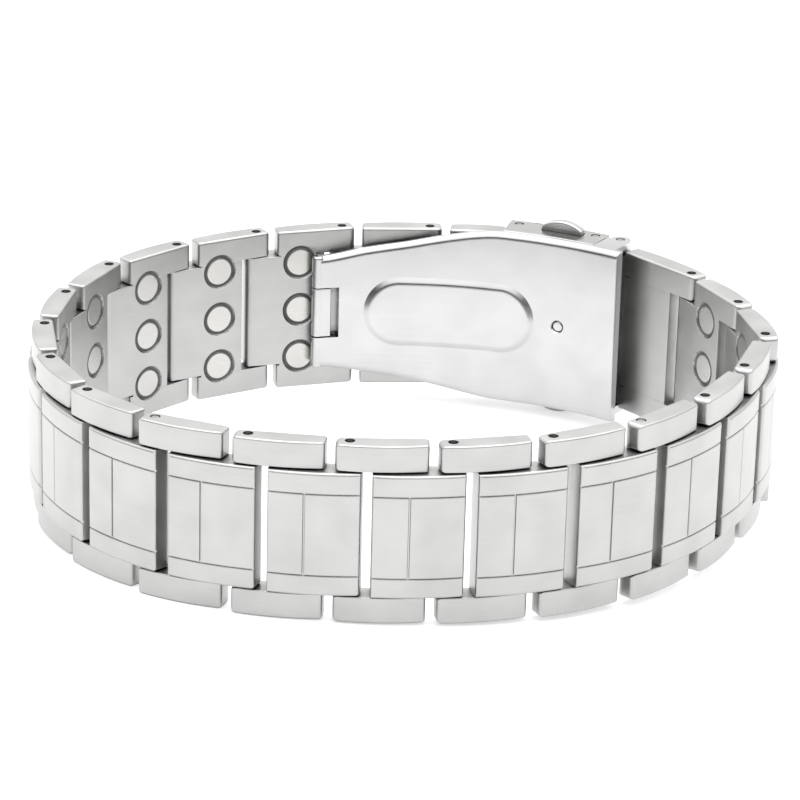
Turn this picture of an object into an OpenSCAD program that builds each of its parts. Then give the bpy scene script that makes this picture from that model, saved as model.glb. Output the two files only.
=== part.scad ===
// Magnetic bracelet. Steel H-links on hinge pins, with three magnets in the back of each,
// closed by a folding clasp that two push buttons lock. The closed loop rests on its lower rim.

/* [Loop] */
// Distance from one hinge pin to the next
pitch = 9.6; // [9:0.1:12]
// Number of links that carry magnets
links = 19; // [17:1:19]
// Length of the end link beside the cover, from pin to pin
cover_link_l = 9.7; // [9.4:0.1:12]
// Room for the end link beside the inner blade, which closes the loop
end_room = 10.2; // [9.8:0.1:12]
// Width of the band, along its pins
band_w = 18; // [17:0.5:24]
// Depth of the loop as a share of its width
roundness = 0.868; // [0.82:0.01:1]
// Place of the cover's first pin round the loop, in degrees from the loop's long axis
clasp_at = 65.7; // [60:0.1:75]

/* [Link] */
// Height of an ear, along the pins
ear_h = 2.65; // [2:0.05:3]
// Ear past its pin
ear_end = 1.35; // [1.1:0.05:1.4]
// Gap between one link and the next, along the loop
link_gap = 0.85; // [0.7:0.05:1]
// Gap between an ear and the tongue that it holds
side_gap = 0.12; // [0.05:0.01:0.2]
// From the pins' line to the inner face
inner_t = 0.9; // [0.8:0.05:1.1]
// From the pins' line to the ears' outer crown
ear_out = 1.45; // [1.2:0.05:1.8]
// How far a plate stands proud of the ears
plate_proud = 0.5; // [0.3:0.05:0.8]
// How far an ear's outer face falls back towards its ends
bow = 0.4; // [0.2:0.05:0.5]
// How far a plate's outer face falls back over half a pitch from its crown
plate_bow = 0.4; // [0.3:0.05:0.5]
// From an ear's pin to the plate's near edge
plate_start = 2.15; // [2.1:0.05:2.6]
// Rounding of an ear's upright edges
ear_r = 0.35; // [0.2:0.05:0.5]
// Rounding of an ear's corner at the pin, seen from the front
ear_corner_r = 0.45; // [0.2:0.05:0.6]
// Rounding of a plate's upright edges
plate_r = 0.25; // [0.1:0.05:0.3]
// Rounding of a tongue's end on the inside
tongue_r = 0.7; // [0.4:0.05:0.8]

/* [Grooves] */
// Width of the grooves in a plate
groove_w = 0.25; // [0.15:0.05:0.4]
// Depth of the grooves in a plate
groove_d = 0.15; // [0.1:0.05:0.25]
// Height of the bands above and below a plate's middle field
border_h = 2.1; // [1.5:0.1:3]
// From the plate's near edge to the upright groove
upright_at = 3.5; // [3:0.1:5]

/* [Magnets] */
// Diameter of a magnet
magnet_d = 3.05; // [2.5:0.05:3.3]
// Thickness of a magnet
magnet_t = 1.05; // [0.8:0.05:1.2]
// Gap round a magnet in its bore
magnet_gap = 0.25; // [0.1:0.05:0.3]
// How deep a magnet lies below the inner face
magnet_recess = 0.1; // [0.05:0.05:0.2]
// From one magnet to the next, along the pins
magnet_step = 5.4; // [4.2:0.1:5.6]
// From an ear's pin to the magnets' row
magnet_at = 4.85; // [4.5:0.05:5.3]

/* [Pins] */
// Diameter of a hinge pin
pin_d = 0.9; // [0.7:0.05:1]
// Radial clearance of a pin in its hole
pin_play = 0.05; // [0.02:0.01:0.08]
// How deep a link pin's ends lie below the ears' faces
pin_recess = 0.35; // [0.2:0.05:0.6]
// How deep the two adjusting pins lie
flush_recess = 0.05; // [0.02:0.01:0.1]

/* [Cover] */
// From the cover's first pin to the pin that it folds on
cover_l = 8.8; // [8.6:0.1:10]
// From that pin to the inner blade's pin
fold_l = 2.8; // [2.7:0.1:4]
// How far the cover's pins lie outside the links' pins
cover_out = 1.1; // [0.9:0.05:1.4]
// How far the inner blade's pin lies outside the links' pins
blade_pin_out = 1.5; // [1.2:0.05:1.8]
// Radius of the eyes round the clasp's pins
eye_r = 1.15; // [1:0.05:1.2]
// Thickness of the cover's side walls
wall_t = 1; // [0.8:0.05:1.2]
// How far the cover's walls stand past the band
wall_proud = 0.7; // [0.5:0.05:0.9]
// Thickness of the cover's outer plate
shell_t = 0.55; // [0.4:0.05:0.7]
// Gap between the cover's plate and the barrels beside it
shell_gap = 0.2; // [0.15:0.05:0.4]

/* [Blades] */
// Thickness of the inner blade
blade_t = 1; // [0.6:0.05:1.1]
// Thickness of the middle blade
strip_t = 0.5; // [0.4:0.05:0.6]
// Gap between the blades and to the links behind them
blade_gap = 0.06; // [0.05:0.01:0.1]
// From the blades' own pin to the inner blade's pin, along the loop
blade_l = 32.6; // [32:0.1:36]
// Width of the inner blade at the blades' own pin
blade_w = 12.8; // [10:0.1:13]
// How far the wide end of the inner blade stands past the band
blade_proud = 0.7; // [0.2:0.05:0.8]
// Length over which the inner blade widens
taper_l = 21; // [18:0.5:22]
// Inner blade past its pin at the wide end
blade_end = 2.3; // [1.2:0.05:2.5]
// Gap between the wide end of the inner blade and the link beside it
blade_end_gap = 0.35; // [0.3:0.05:0.8]
// Width of the middle blade
strip_w = 9; // [7:0.1:10]
// Width of the middle blade's barrel, round the pin that the cover folds on
barrel_w = 13; // [10:0.5:14]
// Radius of the knuckles round the blades' own pin
knuckle_r = 0.65; // [0.6:0.05:0.7]
// Diameter of the blades' own pin
knuckle_pin_d = 0.6; // [0.5:0.05:0.65]
// Width of the middle blade's knuckle
knuckle_w = 5.5; // [4:0.1:6]
// Length of the knuckle's flat back, in the inner blade's window
knuckle_l = 2.1; // [1.5:0.05:2.2]
// Slot left free in the window
window_slot = 0.95; // [0.5:0.05:1]
// Length of the pressed field in the inner blade
pressed_l = 18.8; // [12:0.1:19]
// Width of the pressed field
pressed_w = 7.9; // [5:0.1:8]
// How far the pressed field stands proud of the blade
pressed_d = 0.35; // [0.15:0.05:0.4]
// From the blades' own pin to the middle of the pressed field
pressed_at = 15.3; // [14:0.1:16]
// Diameter of the stud on the middle blade, in its hole in the inner blade
post_d = 1.2; // [0.9:0.05:1.4]
// From the inner blade's pin to the stud
stud_at = 4.75; // [4:0.05:7]
// How deep the stud's end lies below the inner blade's face
post_recess = 0.25; // [0.1:0.05:0.4]

/* [Buttons] */
// Width of a push button, along the loop
button_w = 4.6; // [3.5:0.1:4.6]
// Thickness of a push button
button_t = 1.1; // [0.8:0.05:1.2]
// How far a button's crown stands past the cover's wall
button_proud = 1.25; // [1.1:0.05:1.6]
// Rise of the button's crown over its ends
button_arch = 0.75; // [0.4:0.05:0.9]
// Gap round a button in its slot
button_gap = 0.08; // [0.05:0.01:0.12]
// Thickness of the foot that keeps a button in
foot_t = 0.8; // [0.6:0.05:1]
// How far the foot reaches past the button on each face
foot_lip = 0.4; // [0.3:0.05:0.5]
// From the cover's first pin to the buttons' middle
button_at = 5.2; // [5:0.05:5.3]

/* [Hidden] */
$fn = 48;
over = 1;

// Places of the cut edges that follow from the sizes above
ear_stop = pitch - ear_end - link_gap;
plate_stop = pitch + plate_start - link_gap;
plate_out = ear_out + plate_proud;
body_z0 = ear_h + side_gap;
body_z1 = band_w - ear_h - side_gap;
hole_r = pin_d / 2 + pin_play;
mid_z = band_w / 2;

// The loop is an ellipse that the chords from pin to pin just close
clasp_chord = cover_l + fold_l;
chords = concat([for (i = [0:links]) pitch], [end_room, clasp_chord]);
function sum(list, i = 0) = i == len(list) ? 0 : list[i] + sum(list, i + 1);
function on_loop(a, t) = [a * cos(t), a * roundness * sin(t)];
function pace(a, t) = a * PI / 180 * norm([sin(t), roundness * cos(t)]);
function hop(a, t, chord, guess, n = 6) =
    n == 0 ? guess
    : hop(a, t, chord, guess + (chord - norm(on_loop(a, guess) - on_loop(a, t))) / pace(a, guess), n - 1);
function walk(a, t, i = 0) =
    i == len(chords) ? [t]
    : concat([t], walk(a, hop(a, t, chords[i], t + chords[i] / pace(a, t)), i + 1));
function turn(a) = walk(a, clasp_at)[len(chords)] - clasp_at;
function closing(lo, hi, n = 24) =
    n == 0 ? (lo + hi) / 2
    : turn((lo + hi) / 2) > 360 ? closing((lo + hi) / 2, hi, n - 1)
    : closing(lo, (lo + hi) / 2, n - 1);
mean_r = sum(chords) / (2 * PI);
half_w = closing(0.9 * mean_r, 1.3 * mean_r);
half_d = half_w * roundness;
stops = walk(half_w, clasp_at);

// A band at rest isn't quite even: how far each link has turned from the ellipse, in degrees
settled = [
    -0.9, -1, -0.9, -0.5, 3.7, 0, -3.5, -4.8, -3, 2.8,
    3.2, -1.2, -2.7, -1.2, 2.6, 1, -7, 2.3, -2.9
];
even = [for (t = stops) on_loop(half_w, t)];
function bearing(i) =
    atan2(even[i + 1][1] - even[i][1], even[i + 1][0] - even[i][0]) + settled[i - 1];
function chain(i, p) =
    i > links ? [p] : concat([p], chain(i + 1, p + pitch * [cos(bearing(i)), sin(bearing(i))]));
link_hinges = chain(1, even[1]);

// The clasp follows the circle that hugs the loop beside the cover
hug_at = (stops[0] + stops[1]) / 2;
clasp_r = pow(pow(half_w * sin(hug_at), 2) + pow(half_d * cos(hug_at), 2), 1.5) / (half_w * half_d);
clasp_c = (link_hinges[0] + link_hinges[1]) / 2
    + sqrt(clasp_r * clasp_r - pitch * pitch / 4) * [-sin(bearing(1)), cos(bearing(1))];
first_r = clasp_r + cover_out;
next_pin = link_hinges[0] - clasp_c;
first_angle = atan2(next_pin[1], next_pin[0])
    - acos((pow(clasp_r, 2) + pow(first_r, 2) - pow(cover_link_l, 2)) / (2 * clasp_r * first_r));
function along(length, out = 0) = 2 * asin(length / 2 / (clasp_r + out));
function at_clasp(angle, out) =
    clasp_c + (clasp_r + out) * [cos(first_angle + angle), sin(first_angle + angle)];
fold_angle = -along(cover_l, cover_out);
blade_pin_angle = fold_angle - along(fold_l, cover_out);
knuckle_angle = blade_pin_angle + along(blade_l);
button_angle = -along(button_at, cover_out);

// The pins' places, from the cover's first pin round to the inner blade's pin
hinges = concat(
    [at_clasp(0, cover_out)], link_hinges, [at_clasp(blade_pin_angle, blade_pin_out)]
);
function heading(i) = atan2(hinges[i + 1][1] - hinges[i][1], hinges[i + 1][0] - hinges[i][0]);
function span(i) = norm(hinges[i + 1] - hinges[i]);

// The two adjusting pins, counted from the cover's first pin
flush_pins = [10, 15];

// Depths of the clasp's layers, inwards from the links' pins' line
sag = clasp_r - sqrt(clasp_r * clasp_r - pitch * pitch / 4);
strip_in = inner_t + sag + blade_gap;
blade_in = strip_in + strip_t + blade_gap;
blade_face = blade_in + blade_t;
wall_in = blade_in - blade_gap;
// The barrels stand a hair proud of the inner blade
knuckle_out = -(blade_face + blade_gap / 2 - knuckle_r);
wall_z = band_w + wall_proud - wall_t;
lug_z = band_w + blade_proud - blade_t;

// The loop leans, because it rests on the lower button and on the rim across from it
button_xy = at_clasp(button_angle, 0);
lean_way = button_xy / norm(button_xy);
tip_drop = wall_proud + button_proud;
function beside(i, x, out) =
    hinges[i] + x * [cos(heading(i)), sin(heading(i))] + out * [sin(heading(i)), -cos(heading(i))];
ear_mid = (ear_stop - ear_end) / 2;
rim_points = concat(
    [for (i = [1:links]) beside(i, ear_mid, ear_out)],
    [for (i = [1:links]) for (x = [ear_corner_r - ear_end, ear_stop - ear_corner_r])
        beside(i, x, ear_out - 0.8 * bow)]
);
far_reach = max([for (p = rim_points) -(p * lean_way)]);
lean = atan(tip_drop / (norm(button_xy) + far_reach));
lift = far_reach * sin(lean);

// The middle of the leaning loop's box lies over the origin
function leaned(p, z) = p + ((p * lean_way) * (cos(lean) - 1) - z * sin(lean)) * lean_way;
outline = concat(
    [for (i = [1:links]) for (x = [plate_start, pitch / 2]) beside(i, x, plate_out)],
    [for (a = [fold_angle, fold_angle / 2, 0]) at_clasp(a, cover_out + eye_r)],
    [at_clasp(blade_pin_angle, blade_pin_out + eye_r)]
);
box_points = [for (p = outline) for (z = [body_z0, body_z1]) leaned(p, z)];
box_mid = [for (k = [0, 1])
    (max([for (p = box_points) p[k]]) + min([for (p = box_points) p[k]])) / 2];

function two(i) = i < 10 ? str("0", i) : str(i);

// Puts what is drawn upright on its rim down where the loop rests
module seated() {
    translate([-box_mid[0], -box_mid[1], lift])
        rotate(a = lean, v = [lean_way[1], -lean_way[0], 0]) children();
}

// A frame at pin i, with X towards the next pin, Y inwards and Z up
module at_hinge(i) {
    seated() translate([hinges[i][0], hinges[i][1], 0]) rotate(heading(i)) children();
}

// A frame at the middle of the clasp's circle, with X towards the cover's first pin
module in_clasp() {
    seated() translate([clasp_c[0], clasp_c[1], 0]) rotate(first_angle) children();
}

// Draws children on the rim and once more upside down under the other rim
module both_rims() {
    children();
    translate([0, 0, band_w]) mirror([0, 0, 1]) children();
}

// What is cut off the square corner x, y that points to sx, sy, to round it
module corner_cut(x, y, sx, sy, r) {
    translate([x - sx * r, y - sy * r])
        mirror([sx < 0 ? 1 : 0, 0]) mirror([0, sy < 0 ? 1 : 0])
            difference() {
                square(r + over);
                circle(r = r);
            }
}

// Radius of a face that falls back by a given drop over a given half width
function face_r(half, drop) = (half * half + drop * drop) / (2 * drop);
// How far out a face of radius r with its crown at out lies, off to one side
function face_y(r, off, out) = r - out - sqrt(r * r - off * off);

// Plan of a bar from x0 to x1, flat inside, its outer face a curve of radius r about crown_x
module bowed_plan(x0, x1, crown_x, r, out, outer_r, inner_r0, inner_r1) {
    difference() {
        intersection() {
            translate([x0, -out - over]) square([x1 - x0, out + inner_t + over]);
            translate([crown_x, r - out]) circle(r = r, $fn = 200);
        }
        corner_cut(x0, face_y(r, x0 + outer_r - crown_x, out), -1, -1, outer_r);
        corner_cut(x1, face_y(r, x1 - outer_r - crown_x, out), 1, -1, outer_r);
        if (inner_r0 > 0) corner_cut(x0, inner_t, -1, 1, inner_r0);
        if (inner_r1 > 0) corner_cut(x1, inner_t, 1, 1, inner_r1);
    }
}

// The lower ear of a link, its corners rounded most at the pin's end
module ear(x0, x1) {
    intersection() {
        linear_extrude(ear_h) bowed_plan(
            x0, x1, (x0 + x1) / 2, face_r((x1 - x0) / 2, bow), ear_out, ear_r, ear_r, ear_r
        );
        translate([0, inner_t + over, 0]) rotate([90, 0, 0])
            linear_extrude(ear_out + inner_t + 2 * over) difference() {
                translate([x0, 0]) square([x1 - x0, ear_h]);
                corner_cut(x0, 0, -1, -1, ear_corner_r);
                corner_cut(x0, ear_h, -1, 1, 0.8 * ear_corner_r);
                corner_cut(x1, 0, 1, -1, 0.6 * ear_corner_r);
            }
    }
}

plate_r_face = face_r(pitch / 2, plate_bow);

// The grooves of a plate: one across near each end, and one upright between them
module grooves(x0, x1, crown_x) {
    for (z = [body_z0 + border_h, body_z1 - border_h])
        translate([0, 0, z - groove_w / 2]) linear_extrude(groove_w) difference() {
            translate([x0 - over, -plate_out - over])
                square([x1 - x0 + 2 * over, plate_out + over]);
            translate([crown_x, plate_r_face - plate_out])
                circle(r = plate_r_face - groove_d, $fn = 200);
        }
    face = face_y(plate_r_face, x0 + upright_at - crown_x, plate_out);
    translate([x0 + upright_at - groove_w / 2, face - over, body_z0 + border_h])
        cube([groove_w, groove_d + over, body_z1 - body_z0 - 2 * border_h]);
}

// The body between the ears, with its plate outside and its tongue at the far end
module link_body(x1, end_r) {
    crown_x = pitch / 2;
    difference() {
        translate([0, 0, body_z0]) linear_extrude(body_z1 - body_z0) bowed_plan(
            plate_start, x1, crown_x, plate_r_face, plate_out, plate_r, 0, end_r
        );
        grooves(plate_start, x1, crown_x);
    }
}

// The web between body and ears, a little behind the ears' outer faces
module web(x1) {
    web_out = ear_out - bow - groove_d;
    translate([plate_start, -web_out, ear_h / 2])
        cube([x1 - ear_r - plate_start, web_out + inner_t, band_w - ear_h]);
}

// A tall tongue from a pin at x to the body beside it
module tall_tongue(x, to_x, z0) {
    translate([0, 0, z0]) linear_extrude(band_w - 2 * z0) {
        translate([x, 0]) circle(r = inner_t);
        translate([min(x, to_x), -inner_t]) square([abs(to_x - x), 2 * inner_t]);
    }
}

module pin_hole(x) {
    translate([x, 0, -over]) cylinder(r = hole_r, h = band_w + 2 * over);
}

magnet_rows = [mid_z - magnet_step, mid_z, mid_z + magnet_step];

module magnet_bore(z) {
    depth = magnet_t + 1.5 * magnet_recess;
    translate([magnet_at, inner_t + over, z]) rotate([90, 0, 0])
        cylinder(d = magnet_d + 2 * magnet_gap, h = depth + over);
}

module link(i) {
    color("gainsboro") at_hinge(i) difference() {
        union() {
            both_rims() ear(-ear_end, ear_stop);
            web(ear_stop);
            link_body(plate_stop, tongue_r);
        }
        pin_hole(0);
        pin_hole(pitch);
        for (z = magnet_rows) magnet_bore(z);
    }
}

module magnets(i) {
    color("silver") at_hinge(i) for (z = magnet_rows)
        translate([magnet_at, inner_t - magnet_recess, z]) rotate([90, 0, 0])
            cylinder(d = magnet_d, h = magnet_t);
}

// The link beside the cover: short ears, and a tall tongue between the cover's walls
module end_link_cover() {
    far = span(0);
    ears_end = far - ear_end - link_gap;
    color("gainsboro") at_hinge(0) difference() {
        union() {
            both_rims() ear(eye_r + shell_gap, ears_end);
            web(ears_end);
            link_body(far + plate_start - link_gap, tongue_r);
            tall_tongue(0, plate_start + ear_r, wall_t - wall_proud + side_gap);
        }
        pin_hole(0);
        pin_hole(far);
    }
}

// The link beside the inner blade: its tall tongue lies between that blade's lugs
module end_link_blade() {
    far = span(links + 1);
    block = far - eye_r - blade_end_gap;
    color("gainsboro") at_hinge(links + 1) difference() {
        union() {
            both_rims() ear(-ear_end, block - side_gap);
            web(block);
            link_body(block, ear_r);
            tall_tongue(far, block - 3 * ear_r, blade_t - blade_proud + side_gap);
        }
        pin_hole(0);
        pin_hole(far);
    }
}

module link_pins() {
    color("dimgray") seated() for (i = [1:links + 1]) {
        recess = len(search(i, flush_pins)) > 0 ? flush_recess : pin_recess;
        translate([hinges[i][0], hinges[i][1], recess]) cylinder(d = pin_d, h = band_w - 2 * recess);
    }
}

// A stretch of ring between two angles and two depths, counted outwards from the pins' line
module ring_plan(angle0, angle1, out0, out1) {
    far = 2 * (clasp_r + out1);
    mid = (angle0 + angle1) / 2;
    intersection() {
        difference() {
            circle(r = clasp_r + out1, $fn = 300);
            circle(r = clasp_r + out0, $fn = 300);
        }
        polygon([
            [0, 0],
            far * [cos(angle0), sin(angle0)],
            far * [cos(mid), sin(mid)],
            far * [cos(angle1), sin(angle1)]
        ]);
    }
}

module eye_plan(angle, out, r) {
    rotate(angle) translate([clasp_r + out, 0]) circle(r = r);
}

// A layer of the clasp, of a given height about the middle of the band
module layer(height) {
    translate([0, 0, mid_z - height / 2]) linear_extrude(height) children();
}

// Extrudes a drawing that faces the middle of the loop, between two depths inwards from the
// pins' line. Its X runs away from the blades' own pin, and its origin lies at the given place
module facing(place, depth0, depth1) {
    rotate(knuckle_angle - along(place)) translate([clasp_r - depth1, 0, mid_z])
        rotate([90, 0, 90]) linear_extrude(depth1 - depth0) mirror([1, 0]) children();
}

// The folding cover: two side walls with an eye at each end, and a plate outside
module cover() {
    outer = cover_out + eye_r;
    end = along(eye_r + shell_gap);
    slot_gap = 2 * button_gap;
    color("lightgray") in_clasp() difference() {
        union() {
            both_rims() translate([0, 0, -wall_proud]) linear_extrude(wall_t) {
                ring_plan(fold_angle, 0, -wall_in, outer);
                eye_plan(0, cover_out, eye_r);
                eye_plan(fold_angle, cover_out, eye_r);
            }
            layer(band_w + 2 * wall_proud) ring_plan(fold_angle + end, -end, outer - shell_t, outer);
        }
        layer(2 * band_w) {
            eye_plan(0, cover_out, hole_r);
            eye_plan(fold_angle, cover_out, hole_r);
        }
        layer(2 * band_w) rotate(button_angle)
            translate([clasp_r - button_gap, -button_w / 2 - button_gap])
                square([button_t + slot_gap, button_w + slot_gap]);
    }
}

// Outline of the inner blade: it widens from the blades' own pin to its wide end
module blade_outline() {
    steps = [[0, 0], [0.27, 0.25], [0.5, 0.47], [0.72, 0.75], [0.88, 0.93], [1, 1]];
    squeeze = taper_l * (clasp_r - blade_face) / clasp_r;
    w0 = blade_w / 2;
    w1 = band_w / 2 + blade_proud;
    side = [for (s = steps) [(s[0] - 0.5) * squeeze, w0 + s[1] * (w1 - w0)]];
    ends = concat([[-squeeze, w0]], side, [[blade_l, w1 + over]]);
    polygon(concat(ends, [for (i = [len(ends) - 1:-1:0]) [ends[i][0], -ends[i][1]]]));
}

// The pressed field: a bar with round ends
module pressed_outline() {
    run = pressed_l - pressed_w;
    square([run, pressed_w], center = true);
    for (side = [-1, 1]) translate([side * run / 2, 0]) circle(d = pressed_w);
}

post_at = blade_l - stud_at;
pad_l = knuckle_l - knuckle_r;

// The inner blade: a long bent sheet with a rolled barrel at one end and two lugs at the other
module blade_inner() {
    end_angle = blade_pin_angle - along(blade_end);
    lug_end = eye_r + side_gap;
    color("whitesmoke") in_clasp() difference() {
        union() {
            intersection() {
                layer(band_w + 2 * blade_proud)
                    ring_plan(end_angle, knuckle_angle, -blade_face, -blade_in);
                facing(taper_l / 2, -over, clasp_r / 2) blade_outline();
            }
            intersection() {
                layer(band_w) ring_plan(
                    blade_pin_angle, knuckle_angle, -blade_face - pressed_d, blade_t / 2 - blade_face
                );
                facing(pressed_at, -over, clasp_r / 2) pressed_outline();
            }
            layer(blade_w) eye_plan(knuckle_angle, knuckle_out, knuckle_r);
            both_rims() translate([0, 0, -blade_proud]) linear_extrude(blade_t) {
                ring_plan(
                    blade_pin_angle - along(lug_end), blade_pin_angle + along(eye_r),
                    -blade_face, blade_pin_out
                );
                eye_plan(blade_pin_angle, blade_pin_out, eye_r);
            }
        }
        layer(knuckle_w + 2 * side_gap) ring_plan(
            knuckle_angle - along(pad_l + window_slot), knuckle_angle + along(2 * knuckle_r),
            -blade_face - over, over - blade_in
        );
        facing(post_at, -over, clasp_r / 2) circle(d = post_d + 2 * pin_play);
        layer(2 * band_w) {
            eye_plan(knuckle_angle, knuckle_out, knuckle_pin_d / 2 + pin_play);
            eye_plan(blade_pin_angle, blade_pin_out, hole_r);
        }
    }
}

// The middle blade: a strip from the cover's barrel to the knuckle in the inner blade's window
module blade_middle() {
    strip_out = -strip_in - strip_t;
    color("gainsboro") in_clasp() difference() {
        union() {
            layer(strip_w) {
                ring_plan(fold_angle, knuckle_angle - along(knuckle_l), strip_out, -strip_in);
                ring_plan(fold_angle - along(eye_r / 3), fold_angle + along(eye_r), strip_out, cover_out);
            }
            layer(barrel_w) eye_plan(fold_angle, cover_out, eye_r);
            layer(knuckle_w) {
                ring_plan(knuckle_angle - along(knuckle_l + knuckle_r), knuckle_angle, strip_out, -strip_in);
                ring_plan(knuckle_angle - along(pad_l), knuckle_angle, -blade_face, -strip_in);
                eye_plan(knuckle_angle, knuckle_out, knuckle_r);
            }
            facing(post_at, strip_in + strip_t / 2, blade_face - post_recess) circle(d = post_d);
        }
        layer(2 * band_w) {
            eye_plan(fold_angle, cover_out, hole_r);
            eye_plan(knuckle_angle, knuckle_out, knuckle_pin_d / 2 + pin_play);
        }
    }
}

// The upper button: a body with an arched crown, over a wider foot inside the wall
module button() {
    foot_z = band_w + wall_proud - wall_t - button_gap;
    top = band_w + wall_proud + button_proud;
    half = button_w / 2;
    arch_r = (half * half + button_arch * button_arch) / (2 * button_arch);
    rotate(button_angle) translate([clasp_r, 0, 0]) {
        translate([-foot_lip, -half - foot_lip, foot_z - foot_t])
            cube([button_t + 2 * foot_lip, button_w + 2 * foot_lip, foot_t]);
        intersection() {
            translate([0, -half, foot_z - foot_t / 2])
                cube([button_t, button_w, top - foot_z + foot_t / 2]);
            translate([-over, 0, top - arch_r]) rotate([0, 90, 0])
                cylinder(r = arch_r, h = button_t + 2 * over, $fn = 120);
        }
    }
}

module button_upper() {
    color("gray") in_clasp() button();
}

module button_lower() {
    color("gray") in_clasp() translate([0, 0, band_w]) mirror([0, 0, 1]) button();
}

// A pin of the clasp, its ends a little below the faces that it passes
module clasp_pin(angle, out, d, height) {
    color("dimgray") in_clasp() layer(height - 2 * flush_recess) eye_plan(angle, out, d / 2);
}

for (i = [1:links]) {
    link(i);
    magnets(i);
}
end_link_cover();
end_link_blade();
link_pins();
cover();
blade_inner();
blade_middle();
button_upper();
button_lower();
clasp_pin(0, cover_out, pin_d, band_w + 2 * wall_proud);  // pin_cover
clasp_pin(fold_angle, cover_out, pin_d, band_w + 2 * wall_proud);  // pin_fold
clasp_pin(blade_pin_angle, blade_pin_out, pin_d, band_w + 2 * blade_proud);  // pin_blade
clasp_pin(knuckle_angle, knuckle_out, knuckle_pin_d, blade_w);  // pin_knuckle
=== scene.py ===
import math
import bmesh
import bpy
from mathutils import Matrix, Vector


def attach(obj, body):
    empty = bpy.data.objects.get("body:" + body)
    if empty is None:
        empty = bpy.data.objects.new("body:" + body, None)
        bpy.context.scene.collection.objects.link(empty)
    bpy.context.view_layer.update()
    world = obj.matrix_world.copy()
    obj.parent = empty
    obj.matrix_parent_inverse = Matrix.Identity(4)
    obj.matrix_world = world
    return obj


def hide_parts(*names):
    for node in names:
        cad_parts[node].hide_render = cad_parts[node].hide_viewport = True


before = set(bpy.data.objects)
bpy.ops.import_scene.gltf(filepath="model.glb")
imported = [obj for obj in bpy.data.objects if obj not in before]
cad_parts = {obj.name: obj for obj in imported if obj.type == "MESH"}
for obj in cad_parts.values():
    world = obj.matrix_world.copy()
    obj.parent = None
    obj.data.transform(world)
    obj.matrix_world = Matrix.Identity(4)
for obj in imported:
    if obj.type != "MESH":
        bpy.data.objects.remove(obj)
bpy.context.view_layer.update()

# Sizes in millimetres, as in the frame. In a link, X runs along it, Y in towards the wrist and
# Z across the band.
PITCH, LINKS, BAND = 9.6, 19, 18.0
SIDE_GAP, LINK_GAP, BLADE_GAP, SHELL_GAP, BLADE_END_GAP = 0.12, 0.85, 0.06, 0.2, 0.35
INNER, BOW, HOLE_R, PIN_R = 0.9, 0.4, 0.5, 0.45
EAR_H, EAR_END, EAR_OUT = 2.65, 1.35, 1.45
PLATE_OUT, PLATE_START = 1.95, 2.15
EAR_STOP = PITCH - EAR_END - LINK_GAP
PLATE_STOP = PITCH + PLATE_START - LINK_GAP
BODY_Z0, BODY_Z1, MID_Z = EAR_H + SIDE_GAP, BAND - EAR_H - SIDE_GAP, BAND / 2
# A web joins the body to the ears, and each end link has a tongue nearly as tall as the band
WEB_OUT, WEB_IN, TONGUE_IN = 0.9, 1.2, 0.42
# Shells that are joined end this far inside each other, so that no two faces coincide
SINK = 0.02
# Across a groove, from its steep side over the floor to the sloping lip: (Z, depth)
GROOVE = ((0.11, 0), (0.08, 0.15), (-0.05, 0.15), (-0.12, 0.03), (-0.24, 0))
GROOVE_AT, UPRIGHT_AT, UPRIGHT_HALF, UPRIGHT_DEPTH = 2.1, 3.5, 0.06, 0.13

MAGNET_R, MAGNET_T, MAGNET_AT, MAGNET_SUNK = 1.525, 1.05, 4.85, 0.1
MAGNET_ROWS = (3.6, MID_Z, 14.4)
# The last is the thickness of the dark ring of painted shade round each magnet
BORE_R, BORE_DEEP, MOUTH, SHADE_RING_T = 1.775, MAGNET_T + 0.15, 0.15, 0.6
ADJUSTING_PINS, PIN_SUNK, PIN_FLUSH = (10, 15), 0.35, 0.05

COVER_L, FOLD_L, END_ROOM, COVER_LINK_L = 8.8, 2.8, 10.2, 9.7
COVER_OUT, BLADE_PIN_OUT, EYE_R = 1.1, 1.5, 1.15
WALL_PROUD, WALL_T, SHELL_T = 0.7, 1.0, 0.55
BUTTON_AT, BUTTON_HALF, BUTTON_T, BUTTON_PROUD = 5.2, 2.3, 1.1, 1.25
BUTTON_CROWN, BUTTON_GAP = 0.75, 0.08
BLADE_L, BLADE_T, BLADE_PROUD, BLADE_END, BLADE_W = 32.6, 1.0, 0.7, 2.3, 12.8
TAPER_L, TAPER_AT = 21, 10.5
# The taper's edge from the narrow width to the wide one: (share of its length, share of its rise)
TAPER = ((0, 0), (0.27, 0.25), (0.5, 0.47), (0.72, 0.75), (0.88, 0.93), (1, 1))
FIELD_L, FIELD_W, FIELD_AT, FIELD_DEEP = 18.8, 7.9, 15.3, 0.5
# From the foot of the raised field up over its shoulder: (inset, rise)
FIELD_STEPS = ((0.15, 0.085), (0.2, 0.11), (0.14, 0.075), (0.1, 0.04), (0.1, 0.025),
               (0.12, 0.012), (0.15, 0.003))
KNUCKLE_R, KNUCKLE_W, KNUCKLE_L, KNUCKLE_PIN_R = 0.65, 5.5, 2.1, 0.3
PAD_L, SLOT, HOLE_IN_BLADE_R = 1.45, 0.95, 0.65
STRIP_T, STRIP_W, FOLD_W = 0.5, 9.0, 13.0
STUD_AT, STUD_R, STUD_SUNK = 27.85, 0.61, 0.08

# The hinges lie on an ellipse that the chords from pin to pin just close. Each link is then
# turned by the degrees that the photo's links have settled by.
ROUNDNESS, CLASP_AT = 0.868, math.radians(65.7)
SETTLED = (-0.9, -1, -0.9, -0.5, 3.7, 0, -3.5, -4.8, -3, 2.8,
           3.2, -1.2, -2.7, -1.2, 2.6, 1, -7, 2.3, -2.9)
CHORDS = [PITCH] * (LINKS + 1) + [END_ROOM, COVER_L + FOLD_L]
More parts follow.
